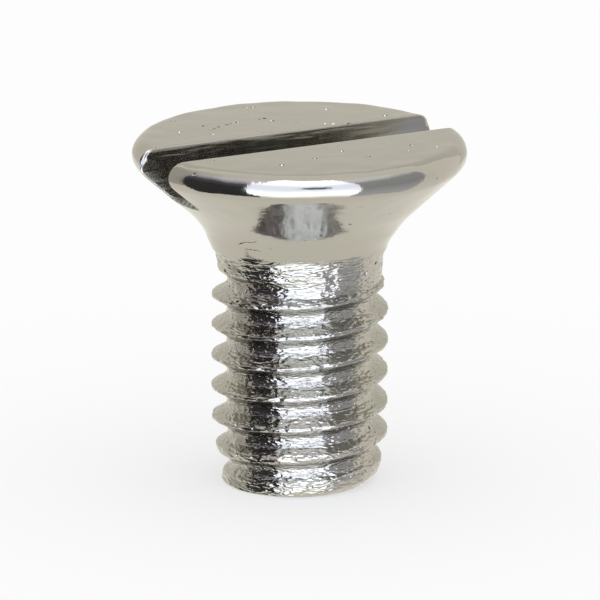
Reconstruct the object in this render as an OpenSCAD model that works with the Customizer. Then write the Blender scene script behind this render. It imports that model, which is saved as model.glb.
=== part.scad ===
// Slotted countersunk machine screw, M4 by 8, coarse pitch, right hand thread.
// One forged and rolled piece of plated steel, standing on its tip.
// The origin is the centre of the tip's flat end, +Z points to the head, and the slot runs along X.
// All sizes are in millimetres and all angles in degrees.

/* [Head] */
// Length from the tip's flat end to the head's flat top
length = 7.85; // [7.5:0.05:14]
// Diameter of the head across its rim
head_d = 7.44; // [6.8:0.02:8.4]
// Angle between opposite sides of the head's cone
cone_angle = 96; // [90:1:104]
// Radius of the rounded rim between the flat top and the cone
rim_round = 0.36; // [0.1:0.01:0.45]

/* [Slot] */
// Width of the driver slot
slot_w = 1.16; // [0.9:0.02:1.4]
// Depth of the driver slot below the flat top
slot_depth = 1.1; // [0.7:0.05:1.5]
// Radius that eases the slot's two long edges
slot_round = 0.08; // [0.03:0.01:0.15]

/* [Neck] */
// Diameter of the plain neck between the thread and the head
neck_d = 3.64; // [3.5:0.02:3.8]
// Radius of the hollow fillet that carries the neck into the cone
fillet_r = 2.3; // [1:0.1:2.8]
// Length left without thread below the straight part of the cone
neck_len = 1.3; // [1.1:0.05:2.1]

/* [Thread] */
// Diameter over the crests of the thread
thread_d = 3.92; // [3.84:0.01:4]
// Advance of the thread in one turn
pitch = 0.7; // [0.5:0.05:0.75]
// Angle between the two flanks of the groove
flank_angle = 60; // [50:1:66]
// Radial height over which the edges of the crest are eased
crest_ease = 0.06; // [0.03:0.01:0.1]
// Turns over which the groove runs out at the neck
runout_turns = 0.25; // [0.25:0.25:1.5]
// Direction, seen from above, in which the groove meets the tip's flat end
thread_start = -66; // [-180:2:180]

/* [Tip] */
// Diameter of the flat end that the screw stands on
tip_d = 3.2; // [2.9:0.05:3.4]
// Height of the tapered tip below the first full crest
tip_h = 1.25; // [0.8:0.05:1.8]
// Radius that rounds the edge of the flat end
tip_round = 0.15; // [0.05:0.05:0.25]

/* [Fineness] */
// Steps in each turn of the groove
turn_steps = 36; // [24:4:48]

/* [Hidden] */
$fn = 96;

// A cut runs this far past the surface that it opens through
clear = 1;
head_r = head_d / 2;
neck_r = neck_d / 2;
tip_r = tip_d / 2;
crest_r = thread_d / 2;
half_cone = cone_angle / 2;

// A metric groove is 17/24 of its sharp V deep, and an eighth of the pitch wide at its root
sharp_v = sqrt(3) / 2;
groove_depth = pitch * sharp_v * 17 / 24;
root_r = crest_r - groove_depth;
root_half_w = pitch / 16;

// Centre of the rounded rim, and the point where it runs into the cone
rim_mid = [head_r - rim_round, length - rim_round];
rim_end = rim_mid + rim_round * [cos(half_cone), -sin(half_cone)];

// The fillet touches the cone at cone_end and the neck at fillet_z
cone_end_r = neck_r + fillet_r * (1 - cos(half_cone));
cone_end = [cone_end_r, rim_end[1] - (rim_end[0] - cone_end_r) / tan(half_cone)];
fillet_z = cone_end[1] - fillet_r * sin(half_cone);

// The groove's centre stops at thread_end, and the crests stop a little below the fillet
thread_end = cone_end[1] - neck_len;
neck_low = min(fillet_z, thread_end) - pitch / 8;
crest_top = neck_low - (crest_r - neck_r);

// Point where the rounded edge of the flat end runs into the tip's taper
tip_mid = [tip_r, tip_round];
taper = [crest_r, tip_h] - tip_mid;
taper_turn = atan2(taper[1], taper[0]) - acos(tip_round / norm(taper));
taper_low = tip_mid + tip_round * [cos(taper_turn), sin(taper_turn)];

// Radius of the plain surface at the height where the groove ends
fillet_rise = max(0, thread_end - fillet_z);
neck_end_r = neck_r + fillet_r - sqrt(fillet_r * fillet_r - fillet_rise * fillet_rise);

// The groove's section opens this far outside the crests, and neighbouring turns stay this far apart
groove_over = 0.03;
turn_gap = 0.02;

// Half of the solid's outline, as radius and height
module outline() {
  difference() {
    union() {
      polygon([
        [0, 0],
        [tip_r, 0],
        taper_low,
        [crest_r, tip_h],
        [crest_r, crest_top],
        [neck_r, neck_low],
        [neck_r, fillet_z],
        cone_end,
        rim_end,
        [rim_mid[0], length],
        [0, length]
      ]);
      translate(tip_mid) circle(r = tip_round);
      translate(rim_mid) circle(r = rim_round);
    }
    translate([neck_r + fillet_r, fillet_z]) circle(r = fillet_r);
  }
}

// Section of the groove as radius and height about its centre, moved outwards by lift
function groove_section(lift) =
  let (
    ease_r = crest_r - crest_ease,
    ease_half_w = root_half_w + (ease_r - root_r) * tan(flank_angle / 2),
    mouth_half_w = (pitch - turn_gap) / 2,
    half = [
      [root_r + lift, root_half_w],
      [ease_r + lift, ease_half_w],
      [crest_r + groove_over + lift, mouth_half_w]
    ]
  )
  concat([for (i = [2 : -1 : 0]) [half[i][0], -half[i][1]]], half);

// How far the groove is moved outwards, given the part of the run-out that it has passed
full_lift = max(crest_r, neck_end_r) - root_r + groove_over;
function run_out(passed) = full_lift * passed * passed;

// The groove winds up from half a turn below the tip to thread_end
first_step = -round(turn_steps / 2) - 1;
last_step = floor((thread_end / pitch) * turn_steps);
runout_steps = runout_turns * turn_steps;

function groove_ring(i) =
  let (
    turn = thread_start + 360 * i / turn_steps,
    rise = pitch * i / turn_steps,
    passed = max(0, (i - last_step + runout_steps) / runout_steps)
  )
  [for (p = groove_section(run_out(passed))) [p[0] * cos(turn), p[0] * sin(turn), p[1] + rise]];

module groove() {
  rings = [for (i = [first_step : last_step]) groove_ring(i)];
  sides = len(rings[0]);
  last = (len(rings) - 1) * sides;
  points = [for (ring = rings) each ring];
  start_cap = [for (k = [1 : sides - 2]) [0, k, k + 1]];
  walls = [
    for (base = [0 : sides : last - sides], k = [0 : sides - 1])
      let (a = base + k, b = base + (k + 1) % sides)
        each [[a, a + sides, b], [b, a + sides, b + sides]]
  ];
  end_cap = [for (k = [1 : sides - 2]) [last, last + k + 1, last + k]];
  polyhedron(points = points, faces = concat(start_cap, walls, end_cap), convexity = 10);
}

module slot_section() {
  translate([-slot_w / 2, length - slot_depth]) square([slot_w, slot_depth + clear]);
  difference() {
    translate([-slot_w / 2 - slot_round, length - slot_round])
      square([slot_w + 2 * slot_round, slot_round + clear]);
    for (side = [-1, 1])
      translate([side * (slot_w / 2 + slot_round), length - slot_round]) circle(r = slot_round);
  }
}

module slot() {
  rotate([90, 0, 90])
    linear_extrude(height = head_d + 2 * clear, center = true) slot_section();
}

module screw() {
  color([0.72, 0.71, 0.66])
    difference() {
      rotate_extrude() outline();
      groove();
      slot();
    }
}

screw();
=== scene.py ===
"""Finish of a slotted countersunk machine screw, standing on its tip on a pale studio floor.

The screw is one fine mesh that follows the plain solid: a turned outline, a helical groove
and a driver slot with eased edges, plus the wear of a forged and rolled part.
Lengths are in millimetres until a mesh is made, and angles are in degrees.
A turn is counted round the axis from +X, and an azimuth from the side that faces the camera.
"""
import math

import bmesh
import bpy
import numpy as np
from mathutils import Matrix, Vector, noise


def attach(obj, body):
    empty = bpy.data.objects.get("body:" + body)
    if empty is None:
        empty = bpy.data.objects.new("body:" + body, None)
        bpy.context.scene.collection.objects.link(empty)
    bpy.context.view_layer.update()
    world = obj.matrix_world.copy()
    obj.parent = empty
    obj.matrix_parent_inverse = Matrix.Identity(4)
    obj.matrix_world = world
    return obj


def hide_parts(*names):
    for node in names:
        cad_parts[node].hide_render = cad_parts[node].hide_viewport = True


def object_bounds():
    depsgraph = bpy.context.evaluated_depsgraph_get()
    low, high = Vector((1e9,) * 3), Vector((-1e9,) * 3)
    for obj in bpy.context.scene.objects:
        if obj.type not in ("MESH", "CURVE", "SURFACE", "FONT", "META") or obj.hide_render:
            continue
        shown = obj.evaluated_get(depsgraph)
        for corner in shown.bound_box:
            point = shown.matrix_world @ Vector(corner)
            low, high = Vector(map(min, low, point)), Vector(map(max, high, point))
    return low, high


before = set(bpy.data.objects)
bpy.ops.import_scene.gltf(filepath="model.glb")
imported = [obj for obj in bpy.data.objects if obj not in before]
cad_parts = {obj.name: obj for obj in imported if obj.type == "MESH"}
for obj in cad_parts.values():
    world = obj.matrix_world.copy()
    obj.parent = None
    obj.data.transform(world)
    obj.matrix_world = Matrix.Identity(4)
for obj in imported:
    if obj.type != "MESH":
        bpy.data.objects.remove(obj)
cad_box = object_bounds()

MM = 0.001
LENGTH = cad_box[1].z / MM
HEAD_R = cad_box[1].y / MM

# Head, slot and neck, as in the solid
HALF_CONE = 48.0
RIM_ROUND = 0.36
SLOT_W = 1.16
SLOT_DEPTH = 1.1
NECK_R = 1.82
FILLET_R = 2.3

# Radii of the slot's edges on the side nearer the camera, along the top and down the cone
NEAR_TOP_ROUND, NEAR_CONE_ROUND = 0.32, 0.27
# Radii of the slot's edges on the far side, along the top, down the cone and across the rim
FAR_TOP_ROUND, FAR_CONE_ROUND, FAR_RIM_ROUND = 0.07, 0.05, 0.2
# The rim's share of an edge peaks where the surface's normal rises this much, and fades over this much
RIM_NORMAL, RIM_NORMAL_REACH = 0.35, 0.6
# The cone's share of an edge grows this fast as the surface's normal turns down
CONE_SHARE_SLOPE = 1.2
# Sweep of a rounded edge, and the height of the flare that opens above it
EDGE_SWEEP, EDGE_FLARE = 84, 0.2
# The edges are eased from this far below the slot's floor
EDGE_BELOW_FLOOR = 0.1
# The slot's box runs this far past the head
CLEAR = 1

# Thread, before its uneven skin is taken off
CREST_R = 1.985
PITCH = 0.7
HALF_FLANK = 30.0
CREST_ROUND = 0.05
ROOT_ROUND = 0.2
FLANK_HOLLOW = 0.15
THREAD_START = -66.0
# Length left without a groove below the straight part of the cone
NECK_LEN = 1.39
# The groove grows shallower over its last turns, by a power of the share passed
RUNOUT_TURNS, RUNOUT_POWER = 0.42, 1.5
# The groove runs out this far outside the crests, and stops this share of a pitch past its end
MOUTH_OVER, GROOVE_STOP = 0.02, 0.01
# Radius that stands for no groove at all
NO_GROOVE_R = 99.0
# The corner between groove and blank is rounded over this much, where they are this close
GROOVE_BLEND, GROOVE_NEAR = 0.035, 0.05
# The crests reach this much further up the neck than in the plain solid
CREST_REACH = 0.13

# Tip
TIP_R = 1.57
TIP_H = 1.25
TIP_ROUND = 0.15
TIP_BLEND = 0.02

# How far the blank's centre line leans towards the camera's right, as heights and distances
LEAN = [(0.0, -0.12), (0.1, -0.03), (0.23, 0.02), (0.37, 0.04), (0.65, -0.01), (1.0, 0.0), (2.4, -0.01)]
LEAN += [(4.8, 0.0), (5.2, -0.01), (5.5, -0.02), (5.9, 0.02), (6.3, 0.03), (6.8, 0.0), (7.3, -0.01)]
LEAN += [(7.85, 0.0)]
# A leaning point stays this far inside the head's radius, and is held back over the last stretch
HELD_INSIDE, HELD_FROM, HELD_BLEND = 0.001, 0.1, 0.02

# Uneven skin of the head: the depth and length of its waves, and their depth towards the rim
HEAD_WAVE, HEAD_WAVE_LENGTH = 0.008, 0.8
RIM_WAVE, RIM_WAVE_START, RIM_WAVE_FADE = 0.03, 2.6, 0.6
# Uneven skin of the thread: the depth of its waves, and their length across and along the axis
THREAD_WAVE, THREAD_WAVE_ACROSS, THREAD_WAVE_UP = 0.03, 0.36, 0.15
# Dents in the crests: their depth and length, and how far they reach in from the crest and fade
CREST_DENT, CREST_DENT_LENGTH = 0.07, 0.45
CREST_DENT_REACH, CREST_DENT_FADE = 0.2, 0.15
# How fast the finer waves of the head and of the thread fade, and how much finer each is
HEAD_FADE, THREAD_FADE, FINER = 1.0, 0.9, 2.0
# The rolled skin fades out between these heights
ROLLED_TOP, ROLLED_FULL = 5.5, 5.3
# Points this close to an end face count as on it
ON_FACE = 1e-4

# Seam where the rolled part of the shank ends, as azimuths and heights
SEAM = [(-180, 5.33), (-120, 5.36), (-68, 5.34), (-40, 5.31), (-25, 5.33), (-18, 5.36), (-13, 5.44)]
SEAM += [(-8, 5.49), (8, 5.49), (13, 5.43), (28, 5.42), (40, 5.37), (66, 5.3), (110, 5.34), (150, 5.3)]
SEAM += [(180, 5.33)]
# Below the seam the blank narrows from this height up at this slope, and steps out over this height
NARROW_FROM, NARROW_SLOPE, SEAM_STEP = 4.95, 0.11, 0.05
# The seam and the groove are both below this height
SEAM_TOP = 5.56

# Camera: its direction from the screw, counted from -Y, its elevation and its distance
VIEW_AZIMUTH = -28.5
VIEW_ELEVATION = 15.2
VIEW_DISTANCE = 138.9
# Picture: its scale and width, and the pixel where the point at this height on the axis is seen
PIXELS_PER_MM = 44.95
FRAME_PIXELS = 600
TARGET_Z = 4.0
TARGET_PIXEL = (300.0, 304.6)
SENSOR_WIDTH = 36

# Mesh fineness: steps round the screw, and rows of each stretch from the tip to the head
AROUND = 252
TIP_FACE_ROWS, TIP_ROUND_ROWS = 14, 7
SEAM_ROWS, NECK_ROWS, CONE_ROWS = 30, 16, 16
RIM_ROWS, TOP_ROWS = 20, 30
# The rows stop winding with the groove this far above its end
WINDING_OVER = 0.12
# Faces that meet at more than this angle have a sharp edge between them
SHARP_ANGLE = 38

# Seed of all random draws
SEED = 7

# Floor: its half width, its colour by itself, and the tone and glow that the camera sees
FLOOR_SIZE = 3000
FLOOR_MATT = (0.9, 0.9, 0.9, 1)
FLOOR_TONE = (0.52, 0.537, 0.587, 1)
FLOOR_GLOW = 0.485
STUDIO_TONE = (0.96, 0.93, 0.85, 1)

# Plating: its tints, its least and most roughness, and how much rougher it is in the slot
GREENISH = (0.467, 0.464, 0.415, 1)
PINKISH = (0.482, 0.46, 0.425, 1)
LEAST_ROUGH, MOST_ROUGH, SLOT_ROUGHER = 0.08, 0.14, 0.1
# Relief of the rolled skin and of the orange peel, in metres
ROLLED_RELIEF, PEEL_RELIEF = 2.8e-5, 1.0e-5


def cosd(angle):
    return math.cos(math.radians(angle))


def sind(angle):
    return math.sin(math.radians(angle))


def tand(angle):
    return math.tan(math.radians(angle))


def share(value, start, stretch):
    """The share of a stretch that a value has passed, between 0 and 1."""
    return np.clip((value - start) / stretch, 0, 1)


def smooth_min(one, other, width):
    """The lesser of two values, with the corner between them rounded over a width."""
    part = np.clip(0.5 + 0.5 * (other - one) / width, 0, 1)
    return other + (one - other) * part - width * part * (1 - part)


# Outline of the blank

RIM_MID = np.array([HEAD_R - RIM_ROUND, LENGTH - RIM_ROUND])
RIM_END = RIM_MID + RIM_ROUND * np.array([cosd(HALF_CONE), -sind(HALF_CONE)])
CONE_END_R = NECK_R + FILLET_R * (1 - cosd(HALF_CONE))
CONE_END = np.array([CONE_END_R, RIM_END[1] - (RIM_END[0] - CONE_END_R) / tand(HALF_CONE)])
FILLET_Z = CONE_END[1] - FILLET_R * sind(HALF_CONE)
THREAD_END = CONE_END[1] - NECK_LEN
NECK_LOW = min(FILLET_Z, THREAD_END) - PITCH / 8
CREST_TOP = NECK_LOW - (CREST_R - NECK_R) + CREST_REACH
FLOOR_Z = LENGTH - SLOT_DEPTH

TIP_MID = np.array([TIP_R, TIP_ROUND])
TAPER = np.array([CREST_R, TIP_H]) - TIP_MID
TAPER_TURN = math.atan2(TAPER[1], TAPER[0]) - math.acos(TIP_ROUND / np.hypot(*TAPER))
TAPER_LOW = TIP_MID + TIP_ROUND * np.array([math.cos(TAPER_TURN), math.sin(TAPER_TURN)])

# Section of the groove: a round root, a slightly hollow flank and a round crest
CREST_MID_R = CREST_R - CREST_ROUND
FLANK_END = PITCH / 2 - CREST_ROUND * cosd(HALF_FLANK)
ROOT_HALF_W = ROOT_ROUND * cosd(HALF_FLANK)
FLANK_WIDE = FLANK_END - ROOT_HALF_W
FLANK_END_R = CREST_MID_R + CREST_ROUND * sind(HALF_FLANK)
FLANK_LOW_R = FLANK_END_R - FLANK_WIDE / tand(HALF_FLANK)
ROOT_MID_R = FLANK_LOW_R + ROOT_ROUND * sind(HALF_FLANK)


def shank_radius(z):
    """Radius of the blank at a height above the tip's rounding."""
    taper = TAPER_LOW[0] + (CREST_R - TAPER_LOW[0]) * (z - TAPER_LOW[1]) / (TIP_H - TAPER_LOW[1])
    shoulder = CREST_R - (z - CREST_TOP)
    low = np.minimum(np.minimum(taper, CREST_R), np.maximum(shoulder, NECK_R))
    fillet = NECK_R + FILLET_R - np.sqrt(np.maximum(FILLET_R**2 - (z - FILLET_Z) ** 2, 0))
    cone = RIM_END[0] - (RIM_END[1] - z) * tand(HALF_CONE)
    rim = RIM_MID[0] + np.sqrt(np.maximum(RIM_ROUND**2 - (z - RIM_MID[1]) ** 2, 0))
    head = np.where(z < RIM_END[1], cone, rim)
    return np.where(z < FILLET_Z, low, np.where(z < CONE_END[1], fillet, head))


def groove_offset(z, turn):
    """Height above the middle of the nearest groove, at a height and a turn."""
    rise = PITCH * (turn - THREAD_START) / 360
    return (z - rise + PITCH / 2) % PITCH - PITCH / 2


def groove_radius(offset):
    """Radius of the thread at a height above or below the middle of its groove."""
    away = np.abs(offset)
    along = share(away, ROOT_HALF_W, FLANK_WIDE)
    straight = FLANK_LOW_R + (away - ROOT_HALF_W) / tand(HALF_FLANK)
    flank = straight - FLANK_HOLLOW * FLANK_WIDE * along * (1 - along)
    root = ROOT_MID_R - np.sqrt(np.maximum(ROOT_ROUND**2 - away**2, 0))
    crest = CREST_MID_R + np.sqrt(np.maximum(CREST_ROUND**2 - (PITCH / 2 - away) ** 2, 0))
    return np.where(away < ROOT_HALF_W, root, np.where(away < FLANK_END, flank, crest))


def seam_height(turn):
    azimuth = (turn - VIEW_AZIMUTH + 90 + 180) % 360 - 180
    azimuths, heights = np.array(SEAM).T
    return np.interp(azimuth, azimuths, heights)


def threaded_radius(z, turn):
    """Radius of the threaded blank at a height and a turn."""
    below_seam = np.clip((seam_height(turn) - z) / SEAM_STEP + 0.5, 0, 1)
    blank = shank_radius(z) - NARROW_SLOPE * np.maximum(z - NARROW_FROM, 0) * below_seam
    offset = groove_offset(z, turn)
    centre = z - offset
    passed = np.clip((centre - THREAD_END) / (PITCH * RUNOUT_TURNS) + 1, 0, 1)
    mouth = CREST_R + MOUTH_OVER
    groove = mouth - (mouth - groove_radius(offset)) * (1 - passed**RUNOUT_POWER)
    groove = np.where(centre > THREAD_END + PITCH * GROOVE_STOP, NO_GROOVE_R, groove)
    return np.where(groove < blank + GROOVE_NEAR, smooth_min(groove, blank, GROOVE_BLEND), blank)


# Uneven skin of forging and rolling


def lean(z):
    """How far the centre line leans at a height, eased between the given heights."""
    heights, drifts = np.array(LEAN).T
    i = np.clip(np.searchsorted(heights, z, side="right") - 1, 0, len(heights) - 2)
    part = share(z, heights[i], heights[i + 1] - heights[i])
    part = part * part * (3 - 2 * part)
    return drifts[i] + (drifts[i + 1] - drifts[i]) * part


def leaned(x, y, z):
    """Points moved with the centre line, and held inside the head's radius."""
    x = x + lean(z) * cosd(VIEW_AZIMUTH)
    y = y + lean(z) * sind(VIEW_AZIMUTH)
    reach = np.hypot(x, y)
    held = smooth_min(reach, HEAD_R - HELD_INSIDE, HELD_BLEND)
    held = np.where(reach > HEAD_R - HELD_FROM, held, reach)
    ratio = held / np.maximum(reach, 1e-6)
    return np.stack([x * ratio, y * ratio, z], 1)


def skin_noise(points):
    """Noises at each point: the head's swell, the rolled skin's grain and the dents of its crests."""
    across = 1 / THREAD_WAVE_ACROSS
    apart = Vector((SEED, 0, 0))
    swell, grain, dent = np.empty((3, len(points)))
    for i, point in enumerate(points):
        place = Vector(point)
        stretched = Vector((point[0] * across, point[1] * across, point[2] / THREAD_WAVE_UP))
        swell[i] = noise.fractal(place / HEAD_WAVE_LENGTH, HEAD_FADE, FINER, 2)
        grain[i] = noise.fractal(stretched, THREAD_FADE, FINER, 3)
        dent[i] = noise.fractal(place / CREST_DENT_LENGTH + apart, THREAD_FADE, FINER, 2)
    return swell, grain, dent


def worked(points):
    """The blank with its uneven skin, which is mostly cut into the true form."""
    x, y, z = points.T
    radius = np.hypot(x, y)
    swell, grain, dent = skin_noise(points)
    on_thread = share(z, ROLLED_TOP, ROLLED_FULL - ROLLED_TOP)
    near_rim = share(radius, RIM_WAVE_START, RIM_WAVE_FADE)
    at_crest = share(radius - CREST_R, -CREST_DENT_REACH, CREST_DENT_FADE) * on_thread
    # Each noise runs from about -1 to 1, and becomes a share of its depth
    head_depth = HEAD_WAVE + (RIM_WAVE - HEAD_WAVE) * near_rim
    depth = head_depth * (1 - on_thread) * np.clip(0.5 + 0.5 * swell, 0, 1)
    depth += THREAD_WAVE * on_thread * np.clip(0.3 + 0.5 * grain, -0.2, 0.9)
    depth += CREST_DENT * at_crest * np.clip(dent - 0.2, 0, 1)

    # The skin is taken off along the normal on the top and the rim, not at all on the flat end,
    # and inwards elsewhere
    on_top_face = z > LENGTH - ON_FACE
    outwards = np.where(on_top_face, 0.0, 1.0)
    upwards = np.where(on_top_face, 1.0, 0.0)
    on_rim = (z > RIM_MID[1]) & (radius > RIM_MID[0])
    outwards[on_rim] = (radius[on_rim] - RIM_MID[0]) / RIM_ROUND
    upwards[on_rim] = (z[on_rim] - RIM_MID[1]) / RIM_ROUND
    outwards[z < ON_FACE] = 0
    ratio = 1 - depth * outwards / np.maximum(radius, 1e-3)
    return leaned(x * ratio, y * ratio, z - depth * upwards)


# Mesh of the threaded blank, as rows of heights and radii at equal steps round the axis


def level_row(z, radius):
    return np.full(AROUND + 1, z), np.full(AROUND + 1, radius)


def rows_in_pitch():
    """Distances of the mesh's rows from the middle of a groove, over one pitch."""
    root = [ROOT_ROUND * sind(a) for a in (10, 20, 30, 40, 50)]
    flank = list(np.linspace(ROOT_HALF_W, FLANK_END, 5)[:-1])
    crest = [PITCH / 2 - CREST_ROUND * sind(a) for a in (60, 45, 30, 15, 0)]
    half = root + flank + crest
    return [-away for away in reversed(half[:-1])] + [0.0] + half


def tip_rows(turns):
    """Rows from the centre of the flat end over the tip's rounding, with the groove across it."""
    rows = []
    for a in np.linspace(math.degrees(TAPER_TURN), -90, TIP_ROUND_ROWS)[1:]:
        z = TIP_MID[1] + TIP_ROUND * sind(a)
        radius = TIP_MID[0] + TIP_ROUND * cosd(a)
        groove = groove_radius(groove_offset(z, turns))
        rows.append((np.full(AROUND + 1, z), smooth_min(groove, radius, TIP_BLEND)))
    for radius in np.linspace(TIP_R, 0, TIP_FACE_ROWS)[1:-1]:
        rows.append(level_row(0.0, radius))
    return rows[::-1]


def shank_rows(turns):
    """Rows that wind up the shank with the groove."""
    low = TAPER_LOW[1]
    high = THREAD_END + WINDING_OVER
    first = -PITCH * THREAD_START / 360
    spare = 0.1
    pitches = math.ceil(LENGTH / PITCH)
    starts = []
    for k in range(-pitches, pitches):
        starts += [first + k * PITCH + away for away in rows_in_pitch()]
    starts = [start for start in sorted(starts) if low - PITCH - spare < start < high + spare]
    rows = []
    for start in starts:
        z = np.clip(start + PITCH * turns / 360, low, high)
        rows.append((z, threaded_radius(z, turns)))
    return rows


def head_rows(turns):
    """Rows from the groove's end over the seam, fillet, cone and rim to the centre of the top."""
    rows = []
    for z in np.linspace(THREAD_END + WINDING_OVER, SEAM_TOP, SEAM_ROWS)[1:]:
        rows.append((np.full(AROUND + 1, z), threaded_radius(z, turns)))
    for z in np.linspace(SEAM_TOP, CONE_END[1], NECK_ROWS)[1:]:
        rows.append(level_row(z, shank_radius(z)))
    for z in np.linspace(CONE_END[1], RIM_END[1], CONE_ROWS)[1:]:
        rows.append(level_row(z, shank_radius(z)))
    for a in np.linspace(-HALF_CONE, 90, RIM_ROWS)[1:]:
        rows.append(level_row(RIM_MID[1] + RIM_ROUND * sind(a), RIM_MID[0] + RIM_ROUND * cosd(a)))
    for radius in np.linspace(RIM_MID[0], 0, TOP_ROWS)[1:-1]:
        rows.append(level_row(LENGTH, radius))
    return rows


def blank_mesh():
    """Vertices and faces of the threaded blank, closed, without its slot."""
    turns = np.arange(AROUND + 1) * 360 / AROUND
    angles = np.radians(turns % 360)
    rows = tip_rows(turns) + shank_rows(turns) + head_rows(turns)
    points = [np.stack([r * np.cos(angles), r * np.sin(angles), z], 1) for z, r in rows]
    corners, which = np.unique(np.round(np.concatenate(points), 6), axis=0, return_inverse=True)
    which = which.ravel()
    wide = AROUND + 1

    # Points that fall together are one corner, and a face keeps each of its corners once
    faces = []
    for i in range(len(rows) - 1):
        for j in range(AROUND):
            a = i * wide + j
            quad = [int(which[k]) for k in (a, a + 1, a + wide + 1, a + wide)]
            face = list(dict.fromkeys(quad))
            if len(face) > 2:
                faces.append(face)

    # Both ends are closed by fans round their centres
    low_ring = list(range(AROUND - 1, -1, -1))
    top_ring = [(len(rows) - 1) * wide + j for j in range(AROUND)]
    for ring, centre in ((low_ring, len(corners)), (top_ring, len(corners) + 1)):
        for a, b in zip(ring, ring[1:] + ring[:1]):
            faces.append((int(which[a]), int(which[b]), centre))
    corners = np.vstack([corners, [0, 0, 0], [0, 0, LENGTH]])
    return worked(corners), faces


def mesh_object(name, points, faces):
    """A new object with a mesh, from points in millimetres."""
    corners = [tuple(np.array(point, float) * MM) for point in points]
    mesh = bpy.data.meshes.new(name)
    mesh.from_pydata(corners, [], [tuple(face) for face in faces])
    mesh.validate()
    mesh.update()
    obj = bpy.data.objects.new(name, mesh)
    bpy.context.scene.collection.objects.link(obj)
    return obj


# Driver slot


def slot_box():
    """The slot as a plain box, which runs past the head at both ends and above."""
    side = SLOT_W / 2
    reach = HEAD_R + CLEAR
    corners = [(-reach, -side), (reach, -side), (reach, side), (-reach, side)]
    points = [(x, y, z) for z in (FLOOR_Z, LENGTH + CLEAR) for x, y in corners]
    faces = [(0, 3, 2, 1), (4, 5, 6, 7), (0, 1, 5, 4), (1, 2, 6, 5), (2, 3, 7, 6), (3, 0, 4, 7)]
    return mesh_object("slot_box", points, faces)


def eased_side(radius):
    """One side of the section of the slot's mouth, as distances across it and above the surface."""
    side = SLOT_W / 2
    arc = []
    for a in np.linspace(0, EDGE_SWEEP, 10):
        arc.append((side + radius * (1 - cosd(a)), -radius * (1 - sind(a))))
    flare = (arc[-1][0] + EDGE_FLARE * 2, arc[-1][1] + EDGE_FLARE)
    return [(side / 2, -radius)] + arc + [flare]


def slot_wall_path():
    """Where a wall of the slot meets the head's outline, from one end over the top to the other.

    Each place is its distance along the slot, its height and the surface's normal in these two.
    """
    side = SLOT_W / 2
    outline = []
    for z in np.linspace(FLOOR_Z - EDGE_BELOW_FLOOR, RIM_END[1], 14)[:-1]:
        outline.append((float(shank_radius(z)), z, -HALF_CONE))
    for a in np.linspace(-HALF_CONE, 90, 15):
        outline.append((RIM_MID[0] + RIM_ROUND * cosd(a), RIM_MID[1] + RIM_ROUND * sind(a), a))
    half = []
    for radius, z, a in outline:
        x = math.sqrt(radius * radius - side * side)
        half.append((x, z, cosd(a) * x / radius, sind(a)))
    half += [(x, LENGTH, 0.0, 1.0) for x in np.linspace(half[-1][0], 0, 9)[1:]]
    return half + [(-x, z, -normal_x, normal_z) for x, z, normal_x, normal_z in reversed(half[:-1])]


def eased_edges():
    """A strip along the slot over the head's outline, whose flared section rounds the slot's edges."""
    path = slot_wall_path()
    points, faces = [], []
    for x, z, normal_x, normal_z in path:
        on_cone = min(1, max(0, 1 - CONE_SHARE_SLOPE * normal_z))
        on_rim = max(0, 1 - abs(normal_z - RIM_NORMAL) / RIM_NORMAL_REACH)
        near_round = NEAR_TOP_ROUND + (NEAR_CONE_ROUND - NEAR_TOP_ROUND) * on_cone
        far_round = FAR_TOP_ROUND + (FAR_CONE_ROUND - FAR_TOP_ROUND) * on_cone
        far_round += (FAR_RIM_ROUND - far_round) * on_rim
        section = eased_side(far_round) + [(-y, above) for y, above in reversed(eased_side(near_round))]
        drift = lean(z) * cosd(VIEW_AZIMUTH)
        for y, above in section:
            points.append((x + drift + normal_x * above, y, z + normal_z * above))
    size = len(section)
    for i in range(len(path) - 1):
        for k in range(size):
            a, b = i * size + k, i * size + (k + 1) % size
            faces.append((a, b, b + size, a + size))
    faces.append(range(size)[::-1])
    faces.append([(len(path) - 1) * size + k for k in range(size)])
    return mesh_object("slot_edges", points, faces)


def face_outwards(obj):
    mesh = bmesh.new()
    mesh.from_mesh(obj.data)
    bmesh.ops.recalc_face_normals(mesh, faces=mesh.faces)
    mesh.to_mesh(obj.data)
    mesh.free()


def carve(obj, cutter):
    """Take one closed mesh from another, and remove it."""
    face_outwards(cutter)
    step = obj.modifiers.new("carve", "BOOLEAN")
    step.operation = "DIFFERENCE"
    step.solver = "EXACT"
    step.object = cutter
    graph = bpy.context.evaluated_depsgraph_get()
    carved = bpy.data.meshes.new_from_object(obj.evaluated_get(graph))
    obj.modifiers.clear()
    obj.data = carved
    bpy.data.objects.remove(cutter)


# Marks of forging, rolling and handling


def on_side(azimuth, height):
    """A point of the side and its outward normal, from an azimuth and a height."""
    turn = VIEW_AZIMUTH - 90 + azimuth
    step = 0.01
    low, here, high = (float(threaded_radius(height + shift, turn)) for shift in (-step, 0, step))
    outwards = Vector((cosd(turn), sind(turn), 0))
    drift = Vector((cosd(VIEW_AZIMUTH), sind(VIEW_AZIMUTH), 0)) * float(lean(height))
    normal = outwards - Vector((0, 0, (high - low) / (2 * step)))
    return outwards * here + drift + Vector((0, 0, height)), normal.normalized()


def on_top(right, away):
    """A point of the flat top and its normal, from distances to the camera's right and away from it."""
    x = right * cosd(VIEW_AZIMUTH) - away * sind(VIEW_AZIMUTH)
    y = right * sind(VIEW_AZIMUTH) + away * cosd(VIEW_AZIMUTH)
    return Vector((x, y, LENGTH)), Vector((0, 0, 1))


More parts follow.
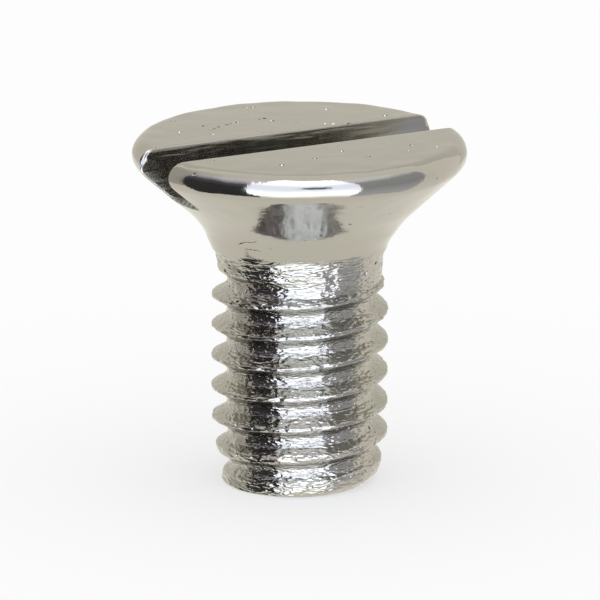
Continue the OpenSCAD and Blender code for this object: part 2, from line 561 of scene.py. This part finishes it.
class Marks:
    """Thin cutters for all the marks, kept clear of each other in one mesh."""

    def __init__(self):
        self.points = []
        self.faces = []
        self.taken = []
        self.draw = np.random.default_rng(SEED)

    def is_free(self, place, reach):
        return all((place - other).length > reach + far for other, far in self.taken)

    def split(self, surface, corners, half_width, depth, steps=6):
        """A V-shaped cut along a wandering line, which fades at both ends."""
        path = []
        for (a0, b0), (a1, b1) in zip(corners, corners[1:]):
            path += [(a0 + (a1 - a0) * k / steps, b0 + (b1 - b0) * k / steps) for k in range(steps)]
        path.append(corners[-1])
        spots = [surface(a, b) for a, b in path]
        last = len(spots) - 1
        first = len(self.points)
        for i, (place, normal) in enumerate(spots):
            ahead = spots[min(i + 1, last)][0] - spots[max(i - 1, 0)][0]
            side = ahead.cross(normal).normalized()
            fade = min(1.0, 4 * i / last, 4 * (last - i) / last)
            wide = half_width * (0.6 + 0.8 * self.draw.random()) * (0.4 + 0.6 * fade)
            deep = depth * (0.6 + 0.8 * self.draw.random())
            place = place + side * half_width * self.draw.normal(0, 0.35)
            bottom = 0.3 * depth * (1 - fade) - deep * fade
            self.points += [
                place + side * 2 * wide + normal * depth,
                place - side * 2 * wide + normal * depth,
                place + normal * bottom,
            ]
            self.taken.append((place, 2.5 * half_width))
        for i in range(last):
            for k in range(3):
                a, b = first + 3 * i + k, first + 3 * i + (k + 1) % 3
                self.faces.append((a, b, b + 3, a + 3))
        self.faces.append((first + 2, first + 1, first))
        self.faces.append((first + 3 * last, first + 3 * last + 1, first + 3 * last + 2))

    def hollow(self, spot, half_length, half_width, depth, turn=0.0):
        """A lumpy hollow whose length lies round the screw, turned by an angle."""
        place, normal = spot
        reach = half_length * 1.2
        if not self.is_free(place, reach):
            return
        self.taken.append((place, reach))
        level = Vector((0, 0, 1)).cross(normal)
        if level.length < 0.1:
            level = Vector((cosd(VIEW_AZIMUTH), sind(VIEW_AZIMUTH), 0))
        level.normalize()
        rise = normal.cross(level)
        along = level * cosd(turn) + rise * sind(turn)
        over = normal.cross(along)
        ball = bmesh.new()
        bmesh.ops.create_icosphere(ball, subdivisions=2, radius=1)
        first = len(self.points)
        offset = Vector(self.draw.random(3) * 50)
        for corner in ball.verts:
            lumpy = corner.co * (1 + 0.35 * noise.noise(corner.co * 1.3 + offset))
            point = place + along * lumpy.x * half_length
            point += over * lumpy.y * half_width
            self.points.append(point + normal * lumpy.z * depth)
        for face in ball.faces:
            self.faces.append(tuple(first + corner.index for corner in face.verts))
        ball.free()

    def chatter(self, surface, corners, count, size):
        """A broken scratch: dents of uneven length that follow a line."""
        firsts, seconds = np.array(corners).T
        last = len(corners) - 1
        for _ in range(count):
            way = self.draw.uniform(0, last)
            first = np.interp(way, range(last + 1), firsts) + self.draw.normal(0, 0.15 * size)
            second = np.interp(way, range(last + 1), seconds) + self.draw.normal(0, 0.15 * size)
            k = min(int(way), last - 1)
            turn = math.degrees(math.atan2(seconds[k + 1] - seconds[k], firsts[k + 1] - firsts[k]))
            half = size * self.draw.uniform(0.6, 1.8)
            turn += self.draw.normal(0, 8)
            self.hollow(surface(first, second), half, 0.75 * size, 0.8 * size, turn)

    def scatter(self, surface, count, firsts, seconds, lengths, slimness):
        """Hollows at random places of a band."""
        for _ in range(count):
            half = self.draw.uniform(*lengths)
            spot = surface(self.draw.uniform(*firsts), self.draw.uniform(*seconds))
            self.hollow(spot, half, half * slimness, half * 0.6, self.draw.uniform(-25, 25))


# Half width and depth of a forging crack, and of the seam
CRACK_WIDE, CRACK_DEEP = 0.014, 0.03
SEAM_WIDE, SEAM_DEEP = 0.012, 0.018
# Size of the dents in a broken scratch
DENT = 0.06
# Half length, half width and depth of a pit in the top
PIT = (0.06, 0.06, 0.05)

# Forging cracks in the fillet, as azimuths and heights
CRACKS = [
    [(-43, 5.77), (-36, 5.87), (-33, 5.93), (-28, 5.95), (-21, 6.05)],
    [(-37, 5.72), (-30, 5.75), (-27, 5.74), (-22, 5.72)],
    [(-38, 5.55), (-33, 5.53), (-29, 5.51), (-25, 5.51), (-19, 5.56)],
    [(120, 5.7), (131, 5.78), (140, 5.8)],
    [(195, 5.55), (205, 5.52), (216, 5.57)],
]

# Curved scratch in the top, the broken line that goes on from it, and a bruise near the back
SCRATCH = [(-2.0, 0.6), (-1.76, 0.98), (-1.47, 1.26), (-1.1, 1.55)]
SCRATCH_ON = [[(-0.1, 1.32), (0.1, 1.25)], [(0.55, 1.2), (0.75, 1.2)], [(-1.95, 0.22), (-1.75, 0.24)]]
BACK_BRUISE = [(-1.25, 2.76), (-0.9, 2.84)]

# Single hollows of the side as azimuth, height, half length, half width, depth and turn
HOLLOWS = [
    (-70, 4.57, 0.04, 0.04, 0.03, 0),
    (-65, 4.67, 0.04, 0.03, 0.03, 0),
    (-44, 4.64, 0.05, 0.04, 0.03, 0),
    (-47, 4.42, 0.1, 0.05, 0.05, 25),
    (-37, 4.42, 0.16, 0.04, 0.04, 4),
    (-24, 4.47, 0.14, 0.05, 0.04, 25),
    (-65, 3.11, 0.05, 0.05, 0.04, 0),
    (-60, 3.15, 0.04, 0.04, 0.04, 0),
    (-46, 1.6, 0.08, 0.04, 0.05, -15),
    (-53, 1.64, 0.05, 0.04, 0.04, 0),
    (-48, 0.88, 0.07, 0.03, 0.04, 50),
    (-31, 0.92, 0.19, 0.05, 0.04, 4),
    (-24, 0.34, 0.12, 0.04, 0.03, 25),
    (6, 0.31, 0.1, 0.06, 0.02, 0),
    (37, 0.44, 0.05, 0.07, 0.03, 20),
    (43, 1.09, 0.09, 0.03, 0.04, 25),
    (69, 1.33, 0.05, 0.05, 0.05, 0),
    (66, 1.81, 0.05, 0.03, 0.04, 40),
    (30, 1.24, 0.09, 0.02, 0.02, -35),
    (0, 5.0, 0.22, 0.06, 0.04, 0),
    (19, 5.22, 0.14, 0.035, 0.03, 0),
    (34, 5.05, 0.22, 0.1, 0.015, 0),
    (52, 5.03, 0.09, 0.07, 0.05, 35),
    (2, 7.58, 0.2, 0.04, 0.02, 0),
    (-39, 7.7, 0.06, 0.05, 0.02, 0),
    (54, 7.43, 0.04, 0.04, 0.03, 0),
    (23, 7.03, 0.05, 0.03, 0.02, 30),
]

# Small pits of the top, as distances to the camera's right and away
TOP_PITS = [(-2.84, 1.49), (-2.13, 0.98), (-3.2, -0.95), (1.49, -1.85), (0.33, -1.99), (2.37, -1.3)]
TOP_PITS += [(3.0, -0.9), (0.92, -1.35), (-0.93, 1.62), (-0.8, 1.72), (-0.62, 1.48), (0.85, 1.3)]
TOP_PITS += [(1.1, 1.25), (-1.05, 2.8), (2.46, -0.8), (-2.67, 0.4), (-0.4, -2.6), (-1.9, -2.2)]
TOP_PITS += [(1.9, 2.0), (0.6, 2.6)]

# Scattered hollows of the side, as count, azimuths, heights, half lengths and slimness
ALL_ROUND = (-180, 180)
SCATTERS = [
    (22, (-52, -12), (4.98, 5.27), (0.04, 0.1), 0.4),
    (26, (-14, 24), (5.08, 5.3), (0.05, 0.12), 0.2),
    (60, ALL_ROUND, (4.98, 5.27), (0.03, 0.09), 0.45),
    (110, ALL_ROUND, (0.3, 4.9), (0.02, 0.045), 0.7),
    (30, ALL_ROUND, (5.6, 7.2), (0.015, 0.03), 0.9),
]


def wear_marks():
    marks = Marks()
    for crack in CRACKS:
        marks.split(on_side, crack, CRACK_WIDE, CRACK_DEEP)
    marks.split(on_side, SEAM[:-1], SEAM_WIDE, SEAM_DEEP)
    marks.chatter(on_top, SCRATCH, 60, DENT)
    for part in SCRATCH_ON:
        marks.chatter(on_top, part, 6, DENT)
    for azimuth, height, *size_and_turn in HOLLOWS:
        marks.hollow(on_side(azimuth, height), *size_and_turn)
    for place in TOP_PITS:
        marks.hollow(on_top(*place), *PIT)
    for scatter in SCATTERS:
        marks.scatter(on_side, *scatter)
    marks.chatter(on_top, BACK_BRUISE, 8, DENT)
    return mesh_object("wear_marks", marks.points, marks.faces)


def make_screw():
    screw = mesh_object("screw_body", *blank_mesh())
    face_outwards(screw)
    for cutter in (slot_box, eased_edges, wear_marks):
        carve(screw, cutter())
    screw.data.polygons.foreach_set("use_smooth", [True] * len(screw.data.polygons))
    screw.data.set_sharp_from_angle(angle=math.radians(SHARP_ANGLE))
    screw.data.materials.clear()
    screw.data.materials.append(plated_steel())
    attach(screw, "root")
    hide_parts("screw")


# Materials


class Nodes:
    """A short way to add and link shader nodes."""

    def __init__(self, tree):
        self.tree = tree
        tree.nodes.clear()

    def add(self, kind, settings=None, **inputs):
        node = self.tree.nodes.new(kind)
        for key, value in (settings or {}).items():
            setattr(node, key, value)
        for key, value in inputs.items():
            self.put(node, key, value)
        return node

    def put(self, node, key, value):
        """Set or link one input, given by its name with _ for a space, or by i and its number."""
        numbered = key[0] == "i" and key[1:].isdigit()
        socket = node.inputs[int(key[1:]) if numbered else key.replace("_", " ")]
        if isinstance(value, bpy.types.NodeSocket):
            self.tree.links.new(value, socket)
        else:
            socket.default_value = value

    def noise(self, place, scale, detail):
        node = self.add("ShaderNodeTexNoise", Vector=place, Scale=scale, Detail=detail)
        return node.outputs["Fac"]

    def stretched_noise(self, place, scales, detail):
        stretched = self.add("ShaderNodeVectorMath", {"operation": "MULTIPLY"}, i0=place, i1=scales)
        return self.noise(stretched.outputs[0], 1.0, detail)

    def span(self, value, low, high, to_low=0.0, to_high=1.0):
        """A value carried from one range to another, and held inside it."""
        node = self.add("ShaderNodeMapRange", i0=value, i1=low, i2=high, i3=to_low, i4=to_high)
        return node.outputs[0]

    def math(self, operation, *values):
        node = self.add("ShaderNodeMath", {"operation": operation})
        for i, value in enumerate(values):
            self.put(node, f"i{i}", value)
        return node.outputs[0]

    def sum(self, first, *others):
        for other in others:
            first = self.math("ADD", first, other)
        return first

    def product(self, first, other):
        return self.math("MULTIPLY", first, other)

    def ramp(self, value, stops):
        """A colour that changes evenly between stops of position and colour."""
        node = self.add("ShaderNodeValToRGB", Fac=value)
        steps = node.color_ramp.elements
        while len(steps) < len(stops):
            steps.new(0.5)
        for step, (position, _) in zip(steps, stops):
            step.position = position
        for step, (_, colour) in zip(steps, stops):
            step.color = colour
        return node.outputs["Color"]

    def surface(self, shader, output="ShaderNodeOutputMaterial"):
        self.add(output, Surface=shader.outputs[0])


def new_material(name):
    """A new material and its empty node tree."""
    material = bpy.data.materials.new(name)
    material.use_nodes = True
    return material, Nodes(material.node_tree)


def slot_mask(nodes, place):
    """1 between the walls of the slot and 0 elsewhere, from places in millimetres."""
    axes = nodes.add("ShaderNodeSeparateXYZ", Vector=place).outputs
    across = nodes.math("ABSOLUTE", axes["Y"])
    between_walls = nodes.span(across, SLOT_W / 2 + 0.02, SLOT_W / 2 + 0.01)
    above_floor = nodes.span(axes["Z"], FLOOR_Z - 0.2, FLOOR_Z - 0.1)
    return nodes.product(between_walls, above_floor)


def plated_steel():
    """Bright zinc over forged steel: a faint tint, a smooth head and a rough rolled thread."""
    material, nodes = new_material("plated_steel")
    metres = nodes.add("ShaderNodeTexCoord").outputs["Object"]
    place = nodes.add("ShaderNodeVectorMath", {"operation": "SCALE"}, i0=metres, Scale=1 / MM).outputs[0]
    height = nodes.add("ShaderNodeSeparateXYZ", Vector=place).outputs["Z"]
    in_slot = slot_mask(nodes, place)
    on_thread = nodes.span(height, ROLLED_TOP, ROLLED_FULL)
    tint = nodes.ramp(nodes.noise(place, 0.9, 3.0), [(0.38, GREENISH), (0.62, PINKISH)])

    # Skin of the rolled thread, and lines scored along the slot, in waves per millimetre
    grain = nodes.noise(place, 9.0, 0.5)
    streaks = nodes.stretched_noise(place, (4.5, 4.5, 19.0), 0.5)
    fine = nodes.stretched_noise(place, (8.0, 8.0, 27.0), 0.0)
    flakes = nodes.span(nodes.stretched_noise(place, (6.0, 6.0, 13.0), 1.0), 0.5, 0.57)
    scored = nodes.stretched_noise(place, (1.0, 7.0, 10.0), 0.6)
    rolled = nodes.sum(
        nodes.product(grain, 0.35),
        nodes.product(streaks, 0.6),
        nodes.product(flakes, 0.12),
        nodes.product(fine, 0.65),
    )
    scored = nodes.product(nodes.product(scored, in_slot), 0.55)
    relief = nodes.sum(nodes.product(rolled, on_thread), scored)
    rough = nodes.add("ShaderNodeBump", Strength=1.0, Distance=ROLLED_RELIEF, Height=relief).outputs[0]

    # Faint orange peel of the plating, all over
    peel = nodes.sum(
        nodes.product(nodes.noise(place, 2.2, 2.0), 0.8),
        nodes.product(nodes.noise(place, 16.0, 1.0), 0.1),
    )
    skin = nodes.add("ShaderNodeBump", Strength=1.0, Distance=PEEL_RELIEF, Height=peel, Normal=rough)

    dullness = nodes.span(nodes.noise(place, 3.0, 3.0), 0.35, 0.65, LEAST_ROUGH, MOST_ROUGH)
    shader = nodes.add(
        "ShaderNodeBsdfPrincipled",
        Base_Color=tint,
        Metallic=1.0,
        Roughness=nodes.sum(nodes.product(in_slot, SLOT_ROUGHER), dullness),
        Normal=skin.outputs[0],
    )
    nodes.surface(shader)
    return material


def floor_material():
    """A matt floor, made near white to the camera, with a softened shadow of the screw."""
    material, nodes = new_material("pale_floor")
    matt = nodes.add("ShaderNodeBsdfDiffuse", Color=FLOOR_MATT)
    toned = nodes.add("ShaderNodeBsdfDiffuse", Color=FLOOR_TONE)
    glow = nodes.add("ShaderNodeEmission", Color=(1, 1, 1, 1), Strength=FLOOR_GLOW)
    seen = nodes.add("ShaderNodeAddShader", i0=toned.outputs[0], i1=glow.outputs[0])
    camera = nodes.add("ShaderNodeLightPath").outputs["Is Camera Ray"]
    nodes.surface(nodes.add("ShaderNodeMixShader", i0=camera, i1=matt.outputs[0], i2=seen.outputs[0]))
    return material


# Studio cards: distance, strength of the brightest, lowest and highest elevation, and mesh steps
CARD_DISTANCE = 450
CARD_PEAK = 5.0
CARD_LOW, CARD_TOP = -49, 84
CARD_STEPS = 24

# Colours of light
STUDIO = STUDIO_TONE[:3]
LAMP = (0.79, 0.84, 1.0)
SHADE = (0.93, 0.88, 1.0)
GREY = (0.93, 0.94, 1.0)
WARM = (1.0, 0.965, 0.86)

# Stops of a card's light as elevation, colour and strength
SOFTBOX = [
    (CARD_LOW, STUDIO, 1.4),
    (-40, STUDIO, 1.6),
    (-28, LAMP, 3.3),
    (-15, LAMP, 3.9),
    (-6, LAMP, 2.6),
    (12, LAMP, 2.0),
    (34, LAMP, 2.0),
    (50, LAMP, 3.0),
    (62, LAMP, 4.9),
    (74, LAMP, 4.3),
    (CARD_TOP, STUDIO, 1.2),
]
DARK = [(CARD_LOW, SHADE, 0.05), (10, SHADE, 0.06), (30, SHADE, 0.14), (54, SHADE, 1.0)]
DARK += [(CARD_TOP, STUDIO, 1.0)]
DULL = [(CARD_LOW, GREY, 0.7), (0, GREY, 0.45), (36, GREY, 0.5), (54, GREY, 1.1), (CARD_TOP, STUDIO, 1.0)]
GAP = [(12, SHADE, 0.25), (27, SHADE, 0.25)]
DIM = [(-26, STUDIO, 0.6), (40, STUDIO, 0.6), (CARD_TOP, STUDIO, 1.0)]
BEYOND = [(-12, WARM, 0.74), (45, WARM, 0.74)]

# Cards as name, azimuths, stops and share of the distance, where the gap is nearer than the softbox
CARDS = [
    ("softbox", (-34, 41), SOFTBOX, 1.0),
    ("gap_card", (0, 19), GAP, 0.98),
    ("side_card", (-128, -91), DIM, 1.0),
    ("dark_card", (-91, -34), DARK, 1.0),
    ("grey_card", (41, 100), DULL, 1.0),
    ("back_card", (140, 220), BEYOND, 1.0),
]


def card_material(name, stops):
    """A card whose light changes evenly with height between its stops."""
    material, nodes = new_material(name)
    place = nodes.add("ShaderNodeTexCoord").outputs["Object"]
    height = nodes.add("ShaderNodeSeparateXYZ", Vector=place).outputs["Z"]
    reach = CARD_DISTANCE * MM
    level = nodes.span(height, -reach, reach)
    colours = []
    for elevation, colour, strength in stops:
        shade = tuple(part * strength / CARD_PEAK for part in colour) + (1,)
        colours.append(((sind(elevation) + 1) / 2, shade))
    nodes.surface(nodes.add("ShaderNodeEmission", Color=nodes.ramp(level, colours), Strength=CARD_PEAK))
    return material


def glossy_only(obj):
    """Let only reflections see an object."""
    for kind in ("camera", "diffuse", "transmission", "volume_scatter", "shadow"):
        setattr(obj, "visible_" + kind, False)


def make_card(name, azimuths, stops, nearness):
    """A card on part of a wide sphere round the screw."""
    points, faces = [], []
    far = CARD_DISTANCE * nearness
    for elevation in np.linspace(stops[0][0], stops[-1][0], CARD_STEPS + 1):
        for azimuth in np.linspace(*azimuths, CARD_STEPS + 1):
            direction = VIEW_AZIMUTH + azimuth
            x = far * sind(direction) * cosd(elevation)
            y = -far * cosd(direction) * cosd(elevation)
            points.append((x, y, TARGET_Z + far * sind(elevation)))
    for i in range(CARD_STEPS):
        for j in range(CARD_STEPS):
            k = i * (CARD_STEPS + 1) + j
            faces.append((k, k + 1, k + CARD_STEPS + 2, k + CARD_STEPS + 1))
    card = mesh_object(name, points, faces)
    card.data.materials.append(card_material(name, stops))
    glossy_only(card)


def make_floor():
    corners = [(-1, -1), (1, -1), (1, 1), (-1, 1)]
    points = [(FLOOR_SIZE * x, FLOOR_SIZE * y, 0) for x, y in corners]
    floor = mesh_object("floor", points, [(0, 1, 2, 3)])
    floor.data.materials.append(floor_material())
    floor.visible_glossy = False


def make_world():
    world = bpy.data.worlds.new("studio")
    bpy.context.scene.world = world
    world.use_nodes = True
    nodes = Nodes(world.node_tree)
    light = nodes.add("ShaderNodeBackground", Color=STUDIO_TONE, Strength=1.0)
    nodes.surface(light, "ShaderNodeOutputWorld")


def make_camera():
    data = bpy.data.cameras.new("camera")
    camera = bpy.data.objects.new("camera", data)
    bpy.context.scene.collection.objects.link(camera)
    bpy.context.scene.camera = camera
    level = cosd(VIEW_ELEVATION)
    back = Vector((sind(VIEW_AZIMUTH) * level, -cosd(VIEW_AZIMUTH) * level, sind(VIEW_ELEVATION)))
    data.sensor_width = SENSOR_WIDTH
    data.lens = PIXELS_PER_MM * VIEW_DISTANCE / FRAME_PIXELS * SENSOR_WIDTH
    data.clip_start = 0.01
    data.clip_end = 20
    turn = (-back).to_track_quat("-Z", "Y")
    right = turn @ Vector((1, 0, 0))
    up = turn @ Vector((0, 1, 0))
    middle = FRAME_PIXELS / 2
    aim = Vector((0, 0, TARGET_Z))
    aim += right * (middle - TARGET_PIXEL[0]) / PIXELS_PER_MM
    aim += up * (TARGET_PIXEL[1] - middle) / PIXELS_PER_MM
    camera.location = (aim + back * VIEW_DISTANCE) * MM
    camera.rotation_mode = "QUATERNION"
    camera.rotation_quaternion = turn


make_camera()
make_screw()
make_floor()
make_world()
for card in CARDS:
    make_card(*card)

bpy.context.scene.view_settings.view_transform = "Standard"
